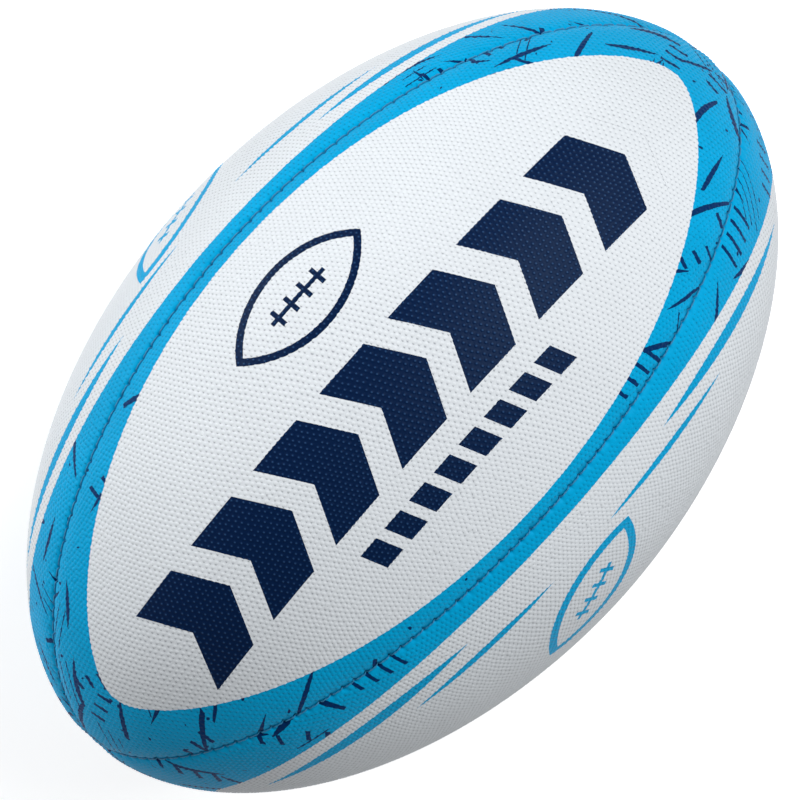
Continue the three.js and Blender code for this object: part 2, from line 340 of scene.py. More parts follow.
def stations(end_radius, spacing):
    """Distances along a panel at which its edges have vertices, closer together at its tips."""
    end = arc_at_radius(end_radius)
    middle_end = end - TIP_LENGTH
    middle = np.linspace(-middle_end, middle_end, round(2 * middle_end / spacing) + 1)
    near_tip = np.linspace(middle_end, end, TIP_STATIONS)[1:]
    return np.concatenate([-near_tip[::-1], middle, near_tip])


def wander(along, across, bow, waves):
    """A smooth, irregular shift in the pimples' rows, from waves of these lengths in mm."""
    first, second, third, fourth = waves
    slow = np.sin(along / first + bow * np.sin(across / second))
    return slow + 0.6 * np.sin(across / third - along / fourth)


def pimple_centres(end):
    """(s, turn) of a triangular grid of pimples, laid outwards from the panel's middle line.

    Each row follows the circle that fits the ball there, and is then pulled onto its surface.
    """
    column = PIMPLE_PITCH * math.sin(math.radians(60))
    rows = np.arange(-int(end / PIMPLE_PITCH), int(end / PIMPLE_PITCH) + 1)
    columns = np.arange(-PIMPLE_COLUMNS, PIMPLE_COLUMNS + 1)
    j, i = np.meshgrid(rows, columns, indexing="ij")
    x, r, nx, nr = outline_at((j + 0.5 * (i % 2)).ravel() * PIMPLE_PITCH)
    across = r / nr
    lean = np.clip(i.ravel() * column / across, -1.4, 1.4)
    sag = across * (1 - np.cos(lean))
    x, y, z = x - sag * nx, across * np.sin(lean), r - sag * nr
    for _ in range(3):
        out = np.hypot(y, z)
        error = (np.abs(x) / HALF_LENGTH) ** PROFILE_POWER + (out / RADIUS) ** PROFILE_POWER - 1
        slope_x = np.sign(x) * (np.abs(x) / HALF_LENGTH) ** (PROFILE_POWER - 1) / HALF_LENGTH
        slope_out = (out / RADIUS) ** (PROFILE_POWER - 1) / RADIUS
        step = error / (PROFILE_POWER * (slope_x**2 + slope_out**2))
        x = x - step * slope_x
        y, z = y * (1 - step * slope_out / out), z * (1 - step * slope_out / out)
    share = np.clip(np.abs(x) / HALF_LENGTH, 0, 1) ** (PROFILE_POWER / 2)
    s, turn = np.interp(np.sign(x) * np.arcsin(share), ANGLES, ARC), np.arctan2(y, z)
    q = turn * np.hypot(y, z)
    drift_s = PIMPLE_DRIFT * wander(s, q, 1.7, (21, 34, 13, 29))
    drift_q = PIMPLE_DRIFT * wander(q, s, 1.4, (19, 27, 11, -23))
    return s + drift_s, turn + drift_q / np.hypot(y, z)


class Sheet:
    """One face of a panel's layer as spots (s, turn) and triangles between them."""

    def __init__(self, edge_s, hole):
        self.edge_s = edge_s
        self.edge = edge_turn(edge_s, math.pi / 2)
        self.s, self.turn = [], []
        self.left = self.add(edge_s, -self.edge)
        self.right = self.add(edge_s, self.edge)
        across = np.linspace(-1, 1, END_ROW)[1:-1]
        self.low_end, self.high_end = (
            [self.left[k], *self.add(edge_s[k] + 0 * across, self.edge[k] * across), self.right[k]]
            for k in (0, -1)
        )
        self.hole = self.circle(VALVE_HOLE_RADIUS) if hole else None

    def add(self, s, turn):
        """Adds spots and returns their numbers."""
        first = len(self.s)
        self.s += list(s)
        self.turn += list(turn)
        return list(range(first, len(self.s)))

    def circle(self, radius):
        a = np.arange(HOLE_SIDES) * 2 * math.pi / HOLE_SIDES
        s = radius * np.cos(a)
        return self.add(s, radius * np.sin(a) / outline_at(s)[1])

    def close(self):
        """Triangles between all the spots, without those outside the edges or in the hole."""
        self.s, self.turn = np.array(self.s), np.array(self.turn)
        q = self.turn * outline_at(self.s)[1]
        loops = [self.left + self.high_end[1:-1] + self.right[::-1] + self.low_end[1:-1][::-1]]
        if self.hole:
            loops.append(self.hole)
        edges = [(a, b) for loop in loops for a, b in zip(loop, loop[1:] + loop[:1])]
        spots = [Vector(p) for p in zip(self.s.tolist(), q.tolist())]
        found, _, triangles, *_ = delaunay_2d_cdt(spots, edges, [], 0, 1e-6)
        if len(found) != len(spots):
            raise ValueError("two spots of a panel lie on each other")
        t = np.array(triangles)
        middle_s, middle_q = self.s[t].mean(axis=1), q[t].mean(axis=1)
        edge_q = self.edge * outline_at(self.edge_s)[1]
        keep = np.abs(middle_q) < np.interp(middle_s, self.edge_s, edge_q)
        if self.hole:
            keep &= np.hypot(middle_s, middle_q) > VALVE_HOLE_RADIUS * math.cos(math.pi / HOLE_SIDES)
        t = t[keep]
        a, b, c = (np.stack([self.s[t[:, k]], q[t[:, k]]], axis=1) for k in range(3))
        area = (b - a)[:, 0] * (c - a)[:, 1] - (b - a)[:, 1] * (c - a)[:, 0]
        t[area < 0] = t[area < 0][:, ::-1]
        self.q, self.triangles = q, t
        return self


def grip_sheet(hole):
    """The outer face: each pimple is a raised spot in a ring of six."""
    edge_s = stations(GRIP_END_RADIUS, FINE_STATIONS)
    sheet = Sheet(edge_s, hole)
    row_s = np.arange(edge_s[0] + FOLD_ROW_END, edge_s[-1] - FOLD_ROW_END, FOLD_ROW_STEP)
    for bent in FOLD_ROWS:
        turn = edge_turn(row_s, bent * math.pi / 2)
        sheet.add(row_s, turn)
        sheet.add(row_s, -turn)
    if hole:
        for radius in HOLE_COLLARS:
            sheet.circle(radius)
    s, turn = pimple_centres(edge_s[-1])
    jitter = np.random.default_rng(7).normal(0, PIMPLE_JITTER, (2, len(s)))
    s, turn = s + jitter[0], turn + jitter[1] / outline_at(s)[1]
    r = outline_at(s)[1]
    bend = bend_radius(r)
    beside = r * np.sin(QUARTER - np.abs(turn))
    keep = beside > PIMPLE_FREE_STRIP * bend / BEND_RADIUS + PIMPLE_RADIUS + PIMPLE_CLEARANCE
    keep &= np.abs(s) < edge_s[-1] - PIMPLE_RADIUS - PIMPLE_TIP_CLEARANCE
    if hole:
        keep &= np.hypot(s, turn * r) > COLLAR_RADIUS
    s, turn, r = s[keep], turn[keep], r[keep]
    sheet.smooth_spots = len(sheet.s)
    sheet.peaks = sheet.add(s, turn)
    sheet.rings = []
    for side in range(PIMPLE_SIDES):
        a = math.radians((side + 0.5) * 360 / PIMPLE_SIDES)
        ring_s = s + PIMPLE_RADIUS * math.cos(a)
        sheet.rings.append(sheet.add(ring_s, turn + PIMPLE_RADIUS * math.sin(a) / r))
    sheet.pits, sheet.pit_ends = sheet.rings[PIT_SIDE], sheet.rings[PIT_SIDE - 1]
    return sheet.close()


def plain_sheet(end_radius, spacing, hole):
    """A smooth face of a layer, with enough spots for its curves."""
    edge_s = stations(end_radius, spacing)
    sheet = Sheet(edge_s, hole)
    inner_s = edge_s[1:-1]
    for bent in PLAIN_FOLD_ROWS:
        turn = edge_turn(inner_s, bent * math.pi / 2)
        sheet.add(inner_s, turn)
        sheet.add(inner_s, -turn)
    if hole:
        sheet.circle(COLLAR_RADIUS)
    rows = int(edge_s[-1] / PLAIN_GRID) - 1
    for row in range(-rows, rows + 1):
        s = row * PLAIN_GRID
        r = float(outline_at(s)[1])
        limit = float(edge_turn(s, 0)) * r - 0.6 * PLAIN_GRID
        count = int(2 * max(limit, 0) / PLAIN_GRID)
        q = np.linspace(-limit, limit, count + 1) if count else np.array([])
        if hole:
            q = q[np.hypot(s, q) > COLLAR_RADIUS + 1.5]
        sheet.add(s + 0 * q, q / r)
    return sheet.close()


def layer_object(name, panel, outer, inner, outer_depth, inner_depth, pimpled=False):
    """A panel's layer: two faces, turned-in edges, closed tips and, on one panel, a valve hole."""
    lift = np.zeros(len(outer.s))
    if pimpled:
        lift[outer.peaks] = PIMPLE_HEIGHT
        lift[outer.pits] = -PIT_DEPTH
    faces = outer.triangles.tolist()
    outer_points = folded(outer.s, outer.turn, outer_depth, lift, outer=pimpled)
    inner_points = folded(inner.s, inner.turn, inner_depth)
    base = len(outer.s)
    faces += (inner.triangles[:, ::-1] + base).tolist()
    shaded = len(faces)
    points = [outer_points, inner_points]
    spots = [np.stack([face.s, face.q], axis=1) for face in (outer, inner)]
    count = base + len(inner.s)
    steps = len(outer.edge_s)
    bottoms = []
    for side, edge, inner_edge in ((-1, outer.left, inner.left), (1, outer.right, inner.right)):
        rows = [edge]
        for depth in (outer_depth, inner_depth):
            turn = side * outer.edge
            points.append(folded(outer.edge_s, turn, depth, bottom=FLANGE_DEPTH))
            reach = outer.q[edge] + side * FLANGE_DEPTH
            spots.append(np.stack([outer.edge_s, reach], axis=1))
            rows.append(list(range(count, count + steps)))
            count += steps
        rows.append([base + i for i in inner_edge])
        for first, second in zip(rows, rows[1:]):
            faces += strip(first, second) if side > 0 else strip(second, first)
        bottoms.append(rows)
    ends = ((0, outer.low_end, inner.low_end), (-1, outer.high_end, inner.high_end))
    for k, upper, inner_end in ends:
        flip = k == -1
        lower = [base + i for i in inner_end]
        caps = strip(lower, upper) if flip else strip(upper, lower)
        for side, rows in zip((-1, 1), bottoms):
            corner = [row[k] for row in rows]
            caps.append(tuple(corner if (side > 0) != flip else corner[::-1]))
        faces += caps
    if outer.hole:
        faces += ring_strip(outer.hole, [base + i for i in inner.hole])
    points = turned_to_panel(np.concatenate(points), panel)
    piece = new_object(name, points, faces, flat=slice(shaded, None))
    add_uv(piece, "Panel", np.concatenate(spots))
    if pimpled:
        mark_pimples(piece, outer)
        add_bake_uv(piece, np.concatenate(spots), len(outer.triangles))
        slots = np.ones(len(piece.data.polygons), np.int32)
        slots[: len(outer.triangles)] = 0
        piece.data.polygons.foreach_set("material_index", slots)
    return piece


def mark_pimples(piece, sheet):
    """Marks each kind of vertex for the print's shading, and sharpens the foot of each pimple."""
    raised = np.full(len(piece.data.vertices), FOOT, np.float32)
    raised[: sheet.smooth_spots] = SMOOTH
    raised[sheet.peaks] = PEAK
    raised[sheet.pits] = PIT
    raised[sheet.pit_ends] = PIT_END
    piece.data.attributes.new("raised", "FLOAT", "POINT").data.foreach_set("value", raised)
    owner = np.full(len(piece.data.vertices), -1)
    for ring in sheet.rings:
        owner[ring] = np.arange(len(ring))
    edges = np.empty(len(piece.data.edges) * 2, np.int32)
    piece.data.edges.foreach_get("vertices", edges)
    a, b = owner[edges[0::2]], owner[edges[1::2]]
    sharp = piece.data.attributes.new("sharp_edge", "BOOLEAN", "EDGE")
    sharp.data.foreach_set("value", (a == b) & (a >= 0))


BAKE_SIZE = 1.72 * ARC[-1] + 8  # mm of panel across the whole UV layer
BAKE_MARGIN = 3 / BAKE_SIZE
BAKE_BACK_MIDDLE = 0.79
BAKE_BACK_SCALE = 0.8


def add_bake_uv(piece, spots, printed):
    """A second UV layer, OFBake: the printed face in two halves, and the back beside them.

    The two sides of a turned-in edge share one place. The export takes the layer by its name,
    instead of cutting each pimple out as a piece of its own.
    """
    mesh = piece.data
    corners = corner_vertices(mesh)
    totals = np.empty(len(mesh.polygons), np.int32)
    mesh.polygons.foreach_get("loop_total", totals)
    face = np.repeat(np.arange(len(totals)), totals)
    s, q = spots[corners, 0], spots[corners, 1]
    starts = np.concatenate([[0], np.cumsum(totals)[:-1]])
    half = np.where(np.add.reduceat(s, starts) < 0, -1, 1)[face]
    u, v = s / BAKE_SIZE, q / BAKE_SIZE
    front = np.stack([half * u + BAKE_MARGIN, 0.5 + half * 0.25 + v], axis=1)
    back = np.stack([BAKE_BACK_MIDDLE + v * BAKE_BACK_SCALE, 0.5 + u * BAKE_BACK_SCALE], axis=1)
    uv = np.where((face < printed)[:, None], front, back)
    mesh.uv_layers.new(name="OFBake").data.foreach_set("uv", uv.astype(np.float32).ravel())


# ================= Thread, bladder, valve and patches =================


def thread_object(name, seam):
    """A twisted thread down in a seam's valley, which dives into the seam at each stitch."""
    end = arc_at_radius(THREAD_END_RADIUS)
    steps = THREAD_STEPS * round(2 * end / STITCH_PITCH)
    s = np.linspace(-end, end, steps)
    depth = THREAD_DEPTH + THREAD_DIVE * stitch(s)
    sideways = THREAD_SWAY * np.sin(math.pi * s / STITCH_PITCH)
    x, r, nx, nr = outline_at(s)
    path = np.stack([x - depth * nx, sideways, r - depth * nr], axis=1)
    along = np.gradient(path, axis=0)
    along /= np.linalg.norm(along, axis=1)[:, None]
    side = np.cross(along, [0.0, 1.0, 0.0])
    side /= np.linalg.norm(side, axis=1)[:, None]
    up = np.cross(side, along)
    points = []
    for k in range(THREAD_SIDES):
        a = k * 2 * math.pi / THREAD_SIDES
        strand = THREAD_RADIUS * (1 - THREAD_FLATNESS + THREAD_FLATNESS * math.cos(2 * a))
        turn = a + s * 2 * math.pi / THREAD_TWIST
        points.append(path + strand * (side * np.cos(turn)[:, None] + up * np.sin(turn)[:, None]))
    points = np.stack(points, axis=1).reshape(-1, 3)
    c, lean = math.cos(QUARTER), math.sin(QUARTER)
    points = points @ np.array([[1, 0, 0], [0, c, -lean], [0, lean, c]])
    starts = range(0, len(points), THREAD_SIDES)
    rings = [list(range(start, start + THREAD_SIDES)) for start in starts]
    faces = [f for a, b in zip(rings, rings[1:]) for f in ring_strip(b, a)]
    faces += [tuple(rings[0]), tuple(rings[-1][::-1])]
    piece = new_object(name, turned_to_panel(points, seam), faces)
    around = np.tile(np.arange(THREAD_SIDES) / THREAD_SIDES, steps)
    add_uv(piece, "Panel", np.stack([np.repeat(s, THREAD_SIDES), around], axis=1))
    return piece


def smooth_step(value, low, high):
    t = np.clip((value - low) / (high - low), 0, 1)
    return t * t * (3 - 2 * t)


def bladder_points(s, around, thickness):
    """Points of the bladder: it dips under each seam's turned-in edges and at the ball's ends."""
    r = outline_at(s)[1]
    turn = np.mod(around + QUARTER, 2 * QUARTER) - QUARTER
    beside = r * np.sin(QUARTER - np.abs(turn))
    flat = smooth_step(beside, *CREASE_EDGES)
    depth = CREASE_DEPTH + (BLADDER_DEPTH - CREASE_DEPTH) * flat
    end = 1 - smooth_step(r, BLADDER_END_RADIUS, BLADDER_END_RADIUS * 2)
    depth = depth + (BLADDER_END_DEPTH - depth) * end + thickness
    return below(s, around, depth)


def bladder_object(name):
    steps, sides = 121, 160
    angle = np.linspace(-math.pi / 2, math.pi / 2, steps)[1:-1]
    s = np.interp(angle, ANGLES, ARC)
    around = np.arange(sides) * 2 * math.pi / sides
    grid_s, grid_around = np.meshgrid(s, around, indexing="ij")
    faces, points = [], []
    for layer, thickness in enumerate((0.0, BLADDER_THICKNESS)):
        first = layer * (len(s) * sides + 2)
        points.append(bladder_points(grid_s, grid_around, thickness).reshape(-1, 3))
        pole = HALF_LENGTH - BLADDER_END_DEPTH - thickness
        points.append(np.array([[-pole, 0, 0], [pole, 0, 0]]))
        rings = [list(range(first + i * sides, first + (i + 1) * sides)) for i in range(len(s))]
        low, high = first + len(s) * sides, first + len(s) * sides + 1
        skin = [f for a, b in zip(rings, rings[1:]) for f in ring_strip(b, a)]
        skin += [(a, b, low) for a, b in zip(rings[0], rings[0][1:] + rings[0][:1])]
        skin += [(b, a, high) for a, b in zip(rings[-1], rings[-1][1:] + rings[-1][:1])]
        faces += skin if layer == 0 else [f[::-1] for f in skin]
    piece = new_object(name, np.concatenate(points), faces)
    cut_round_hole(piece, BLADDER_HOLE_RADIUS)
    return piece


def cut_round_hole(piece, radius):
    """Cuts a round hole along +Y for the valve."""
    length, middle_depth, sides = 24, 8, 64
    mesh = bpy.data.meshes.new("cutter")
    b = bmesh.new()
    middle = Matrix.Translation((0, (RADIUS - middle_depth) * MM, 0))
    bmesh.ops.create_cone(
        b, cap_ends=True, segments=sides, radius1=radius * MM, radius2=radius * MM,
        depth=length * MM, matrix=middle @ Matrix.Rotation(math.pi / 2, 4, "X"),
    )
    b.to_mesh(mesh)
    b.free()
    cutter = link(bpy.data.objects.new("cutter", mesh))
    cut = piece.modifiers.new("valve hole", "BOOLEAN")
    cut.operation, cut.object, cut.solver = "DIFFERENCE", cutter, "EXACT"
    apply_modifiers(piece)
    bpy.data.objects.remove(cutter)


def apply_modifiers(piece):
    graph = bpy.context.evaluated_depsgraph_get()
    mesh = bpy.data.meshes.new_from_object(piece.evaluated_get(graph))
    piece.modifiers.clear()
    piece.data = mesh


def rounded(corners, radius, steps=4):
    """A closed outline with each corner cut into a small curve."""
    made = []
    for i, corner in enumerate(corners):
        here = Vector(corner)
        ends = []
        for other in (corners[i - 1], corners[(i + 1) % len(corners)]):
            leg = Vector(other) - here
            ends.append(here + leg.normalized() * min(radius, leg.length * 0.45))
        if abs(here.x) < 1e-9:
            made.append(here)
            continue
        for k in range(steps + 1):
            t = k / steps
            made.append(ends[0] * (1 - t) ** 2 + here * 2 * t * (1 - t) + ends[1] * t**2)
    return made


def lathe_object(name, outline_points, sides=64):
    """Turns a closed outline of (radius, depth below the valve's mouth) round the +Y axis."""
    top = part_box("valve_body")[1].y / MM
    count = len(outline_points)
    points, rows = [], []
    for x, depth in outline_points:
        if abs(x) < 1e-9:
            rows.append([len(points)])
            points.append((0, top - depth, 0))
            continue
        rows.append(list(range(len(points), len(points) + sides)))
        for k in range(sides):
            a = k * 2 * math.pi / sides
            points.append((x * math.cos(a), top - depth, x * math.sin(a)))
    faces = []
    for i in range(count):
        a, b = rows[i], rows[(i + 1) % count]
        if len(a) == 1 and len(b) == 1:
            continue
        if len(a) == 1:
            faces += [(a[0], b[(k + 1) % sides], b[k]) for k in range(sides)]
        elif len(b) == 1:
            faces += [(a[k], a[(k + 1) % sides], b[0]) for k in range(sides)]
        else:
            faces += ring_strip(a, b)
    return new_object(name, points, faces)


def valve_object(name):
    """The moulded body: a neck with a ribbed mouth, a flange on the bladder and a tapered stem."""
    outline_points = [
        (3.2, 0.35), (3.9, 0.0), (4.35, 0.0), (4.35, 0.3), (4.6, 0.3), (5.0, 0.15),
        (5.0, 6.6), (5.9, 7.4), (11.0, 7.9), (11.0, 8.6), (6.6, 9.0), (6.0, 10.0),
        (6.0, 11.2), (5.7, 11.7), (6.0, 12.2), (6.0, 18.6), (4.9, 20.0), (2.2, 20.0),
        (2.2, 18.5), (3.2, 18.5),
    ]
    return lathe_object(name, rounded(outline_points, 0.25))


def plug_object(name):
    """The plug: a dished top with a needle dimple, a collar and a thin needle channel."""
    outline_points = [
        (0.0, 11.3), (1.0, 11.0), (1.0, 1.2), (1.9, 0.45), (2.5, 0.35), (2.9, 0.6),
        (2.9, 4.0), (2.7, 4.3), (2.7, 5.4), (2.9, 5.7), (2.9, 17.6), (2.3, 18.2), (0.0, 18.2),
    ]
    return lathe_object(name, rounded(outline_points, 0.15), sides=48)


def patch_object(name, hole_radius, radius, depth, thickness):
    """A round patch that lies along the inside of the valve's panel, with a thinned rim."""
    sides = 72
    thinned = 1.2
    rings = [hole_radius, *np.linspace(hole_radius + 0.5, radius - thinned, 6), radius]
    a = np.arange(sides) * 2 * math.pi / sides
    points, rows, spots = [], [], []
    for layer in (0, 1):
        for ring in rings:
            edge = 0.3 if ring == radius else 0.0
            share = edge + layer * (1 - 2 * edge)
            s = ring * np.cos(a)
            q = ring * np.sin(a)
            points.append(below(s, q / outline_at(s)[1], depth + thickness * share))
            spots.append(np.stack([s, q], axis=1))
            rows.append(list(range(len(rows) * sides, (len(rows) + 1) * sides)))
    half = len(rings)
    top, bottom = rows[:half], rows[half:]
    faces = [f for x, y in zip(top, top[1:]) for f in ring_strip(y, x)]
    faces += [f for x, y in zip(bottom, bottom[1:]) for f in ring_strip(x, y)]
    faces += ring_strip(bottom[-1], top[-1]) + ring_strip(top[0], bottom[0])
    points = turned_to_panel(np.concatenate(points), VALVE_PANEL)
    piece = new_object(name, points, faces)
    add_uv(piece, "Panel", np.concatenate(spots))
    return piece


# ================= Materials =================


def operator(kind, swapped=False):
    """A method of Field that adds one maths node of this kind."""

    def method(self, *others):
        return self.maths(kind, *others, self) if swapped else self.maths(kind, self, *others)

    return method


class Field:
    """A number that varies over a surface, worked out by shader nodes."""

    def __init__(self, tree, socket):
        self.tree, self.socket = tree, socket

    def node(self, kind, *values, **settings):
        made = self.tree.nodes.new(kind)
        for key, value in settings.items():
            setattr(made, key, value)
        for socket, value in zip(made.inputs, values):
            if isinstance(value, Field):
                self.tree.links.new(value.socket, socket)
            else:
                socket.default_value = value
        return made

    def maths(self, operation, *values):
        return Field(self.tree, self.node("ShaderNodeMath", *values, operation=operation).outputs[0])

    __add__ = __radd__ = operator("ADD")
    __sub__ = operator("SUBTRACT")
    __rsub__ = operator("SUBTRACT", swapped=True)
    __mul__ = __rmul__ = __and__ = operator("MULTIPLY")
    __truediv__ = operator("DIVIDE")
    __pow__ = operator("POWER")
    __abs__ = operator("ABSOLUTE")
    __lt__ = operator("LESS_THAN")
    __gt__ = operator("GREATER_THAN")
    __or__ = operator("MAXIMUM")
    floor = operator("FLOOR")
    fraction = operator("FRACT")
    sine = operator("SINE")
    cosine = operator("COSINE")

    def ramp(self, low, high, to_low=0.0, to_high=1.0):
        made = self.node("ShaderNodeMapRange", self, low, high, to_low, to_high)
        made.interpolation_type = "SMOOTHSTEP"
        return Field(self.tree, made.outputs[0])


class Look:
    """A material under construction."""

    def __init__(self, name):
        self.material = bpy.data.materials.new(name)
        self.material.use_nodes = True
        self.tree = self.material.node_tree
        self.shader = self.tree.nodes["Principled BSDF"]

    def field(self, socket):
        return Field(self.tree, socket)

    def spot(self):
        """The two panel coordinates, in mm."""
        uv = self.tree.nodes.new("ShaderNodeUVMap")
        uv.uv_map = "Panel"
        parts = self.tree.nodes.new("ShaderNodeSeparateXYZ")
        self.tree.links.new(uv.outputs[0], parts.inputs[0])
        return self.field(parts.outputs[0]), self.field(parts.outputs[1])

    def attribute(self, name):
        made = self.tree.nodes.new("ShaderNodeAttribute")
        made.attribute_name = name
        return self.field(made.outputs["Fac"])

    def place(self):
        """The point in the ball's own frame, in metres."""
        return self.tree.nodes.new("ShaderNodeTexCoord").outputs["Object"]

    def noise(self, size, detail=3.0, roughness=0.55):
        """Noise from 0 to 1 with blobs of about this size in mm."""
        made = self.tree.nodes.new("ShaderNodeTexNoise")
        made.inputs["Scale"].default_value = 1 / (size * MM)
        made.inputs["Detail"].default_value = detail
        made.inputs["Roughness"].default_value = roughness
        self.tree.links.new(self.place(), made.inputs["Vector"])
        return self.field(made.outputs[0])

    def cells(self, s, q, size):
        """Scattered cells of this size: the place in the cell in mm, and three random numbers."""
        mix = self.tree.nodes.new("ShaderNodeCombineXYZ")
        self.tree.links.new((s / size).socket, mix.inputs[0])
        self.tree.links.new((q / size).socket, mix.inputs[1])
        made = self.tree.nodes.new("ShaderNodeTexVoronoi")
        made.voronoi_dimensions = "2D"
        made.inputs["Scale"].default_value = 1.0
        made.inputs["Randomness"].default_value = 1.0
        self.tree.links.new(mix.outputs[0], made.inputs["Vector"])
        centre = self.tree.nodes.new("ShaderNodeSeparateXYZ")
        self.tree.links.new(made.outputs["Position"], centre.inputs[0])
        chance = self.tree.nodes.new("ShaderNodeSeparateColor")
        self.tree.links.new(made.outputs["Color"], chance.inputs[0])
        x = s - self.field(centre.outputs[0]) * size
        y = q - self.field(centre.outputs[1]) * size
        return x, y, [self.field(chance.outputs[k]) for k in range(3)]

    def colours(self, base, *layers, socket="Base Color"):
        """base with colours laid over it: each layer is (share, colour)."""
        colour = base
        for share, top in layers:
            mix = self.tree.nodes.new("ShaderNodeMix")
            mix.data_type = "RGBA"
            self.tree.links.new(share.socket, mix.inputs["Factor"])
            for entry, value in ((mix.inputs[6], colour), (mix.inputs[7], top)):
                if isinstance(value, bpy.types.NodeSocket):
                    self.tree.links.new(value, entry)
                else:
                    entry.default_value = (*value, 1)
            colour = mix.outputs[2]
        self.tree.links.new(colour, self.shader.inputs[socket])

    def rough(self, value):
        self.tree.links.new(value.socket, self.shader.inputs["Roughness"])

    def bump(self, height, depth):
        """Fine relief: height from 0 to 1 over this depth in mm."""
        made = self.tree.nodes.new("ShaderNodeBump")
        made.inputs["Strength"].default_value = 1.0
        made.inputs["Distance"].default_value = depth * MM
        self.tree.links.new(height.socket, made.inputs["Height"])
        self.tree.links.new(made.outputs[0], self.shader.inputs["Normal"])

    def fixed(self, **values):
        for name, value in values.items():
            self.shader.inputs[name.replace("_", " ")].default_value = value


def darker(colour, share):
    return tuple(c * share for c in colour)


def rotated(x, y, degrees):
    c, s = math.cos(math.radians(degrees)), math.sin(math.radians(degrees))
    return x * c + y * s, y * c - x * s


def oval_level(s, q):
    """Under 1 on the white middle of a panel, and over 1 on its blue border."""
    across = (q * q + OVAL_TIP**2) ** (OVAL_POWER / 2) - OVAL_TIP**OVAL_POWER
    return (abs(s) / OVAL_HALF_LENGTH) ** 2.0 + across / OVAL_HALF_WIDTH**OVAL_POWER


def length_of(x, y):
    return (x * x + y * y) ** 0.5


def ball_sign(s, q, centre, degrees, line=2.6):
    """A plain picture of a ball: a pointed oval in outline, with a lace and four ticks."""
    half_length, half_width = 29.0, 14.5
    lace_reach, lace_half_width = 12.0, 0.8
    tick_pitch, tick_share, tick_reach = 6.0, 0.14, 3.4
    x, y = rotated(s - centre[0], q - centre[1], degrees)
    round_ = (half_length**2 + half_width**2) / (2 * half_width)
    reach = length_of(x, abs(y) + (round_ - half_width))
    rim = (reach < round_) & (reach > round_ - line)
    tick = abs((x / tick_pitch).fraction() - 0.5) < tick_share
    across = (abs(y) < lace_half_width) | (tick & (abs(y) < tick_reach))
    return rim | (across & (abs(x) < lace_reach))


def chevrons(s, q):
    """The bold row of chevrons along the panel."""
    middle, half_height, half_length, period = -8.5, 17.5, 111.0, 31.7
    slant, start, filled = 0.55, -5.0, 0.66
    along = s + abs(q - middle) * slant + start
    bars = (along / period + 0.5).fraction() < filled
    return bars & (abs(q - middle) < half_height) & (abs(along) < half_length)


def small_blocks(s, q):
    """The row of small slanted blocks beside the chevrons."""
    middle, half_height, half_length, period = -38.7, 4.6, 46.4, 11.6
    slant, start, filled = 0.35, 1.5, 0.66
    along = s + (q - middle) * slant + start
    blocks = (along / period).fraction() < filled
    return blocks & (abs(q - middle) < half_height) & (abs(along) < half_length)


def flashes(s, level):
    """Tapered streaks just inside the white oval's edge."""

    def streak(middle, half_length, place, half_width):
        taper = 1.0 - ((abs(s) - middle) / half_length) ** 2.0
        return abs(level - place) < taper * half_width

    return streak(88.0, 42.0, 0.86, 0.042) | streak(43.0, 30.0, 0.72, 0.024)


def strokes(look, s, q, size, lean_limit, shape):
    """One mark in some of the cells that cover a panel.

    Each mark leans at most lean_limit degrees from the ball's length. shape gives its outline from
    the place along it, the place across it and two random numbers.
    """
    x, y, (choice, lean, extent) = look.cells(s, q, size)
    angle = (lean - 0.5) * math.radians(2 * lean_limit)
    c, n = angle.cosine(), angle.sine()
    return shape(x * c + y * n, y * c - x * n, extent, choice)


def scribbles(look, s, q, shift):
    """Dark strokes, bars, scratches and dots on the border, mostly near the ball's ends.

    shift moves them along the ball, so that neighbouring panels don't match.
    """
    ends = abs(s).ramp(30.0, 115.0, 0.10, 0.92)
    ragged = look.noise(1.7, 2.0) * 0.8 + 0.56

    def dot(a, b, extent, choice):
        return (length_of(a, b * 1.4) < (0.45 + extent * 0.4) * ragged) & (choice < ends * 0.3)

    def stroke(a, b, extent, choice):
        taper = 1.0 - (a / (8.0 + extent * 9.0)) ** 2.0
        bend = a * a * (extent - 0.4) * 0.03
        return (abs(b + bend) < taper * (0.75 + extent * 0.5) * ragged) & (choice < ends)

    def bars(a, b, extent, choice):
        lines = (a / 5.4 + 0.5).fraction() < ragged * 0.27
        reach = (abs(a) < 8.0 + extent * 6.0) & (abs(b + a * 0.15) < 2.4 + extent * 2.2)
        return lines & reach & (choice < ends * 0.8)

    def scratches(a, b, extent, choice):
        lines = ((b - a * 0.75) / 4.4 + 0.5).fraction() < ragged * 0.15
        reach = (abs(a) < 5.0 + extent * 6.0) & (abs(b - a * 0.5) < 3.0 + extent * 4.0)
        return lines & reach & (choice < ends * 0.7)

    s = s + shift
    made = strokes(look, s, q, size=8.0, lean_limit=90, shape=dot)
    made = made | strokes(look, s + 3.0, q + 5.0, size=20.0, lean_limit=55, shape=stroke)
    made = made | strokes(look, s + 11.0, q - 8.0, size=30.0, lean_limit=25, shape=bars)
    return made | strokes(look, s - 6.0, q, size=30.0, lean_limit=20, shape=scratches)


